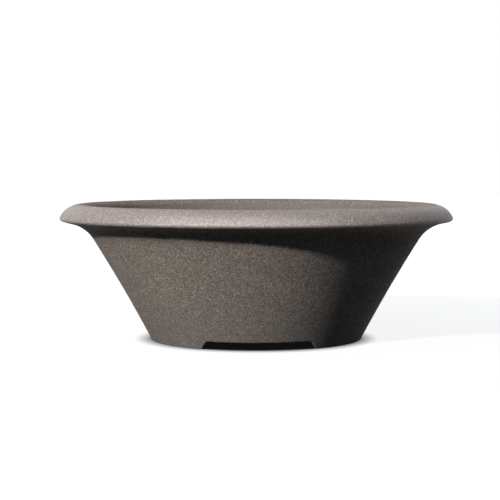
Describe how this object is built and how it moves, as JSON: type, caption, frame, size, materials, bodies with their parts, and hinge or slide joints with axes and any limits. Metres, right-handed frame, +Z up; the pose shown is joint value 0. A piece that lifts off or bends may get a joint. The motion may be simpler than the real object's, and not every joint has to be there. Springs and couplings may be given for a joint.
{
  "type": "conical bonsai pot",
  "caption": "Round conical bonsai pot in unglazed clay, with a broad rolled lip and a footed base; nets cover its drain holes and wires tie in the tree.",
  "frame": {"origin": "on the pot's axis, at the level of its feet", "axes": "+Z up along the pot's axis; -Y towards the middle of one gap between the feet, the side that the picture shows"},
  "size_m": [0.3, 0.3, 0.1032],
  "materials": {
    "clay": "unglazed, fine sandy grain with pale specks, satin",
    "net": "black moulded polyethylene",
    "wire": "brown anodised"
  },
  "bodies": {
    "root": {"pot_body": "clay", "drain_net_1": "net", "drain_net_2": "net", "drain_net_3": "net", "net_clip_1": "wire", "net_clip_2": "wire", "net_clip_3": "wire", "tie_wire_1": "wire", "tie_wire_2": "wire", "tie_wire_3": "wire"}
  },
  "joints": []
}
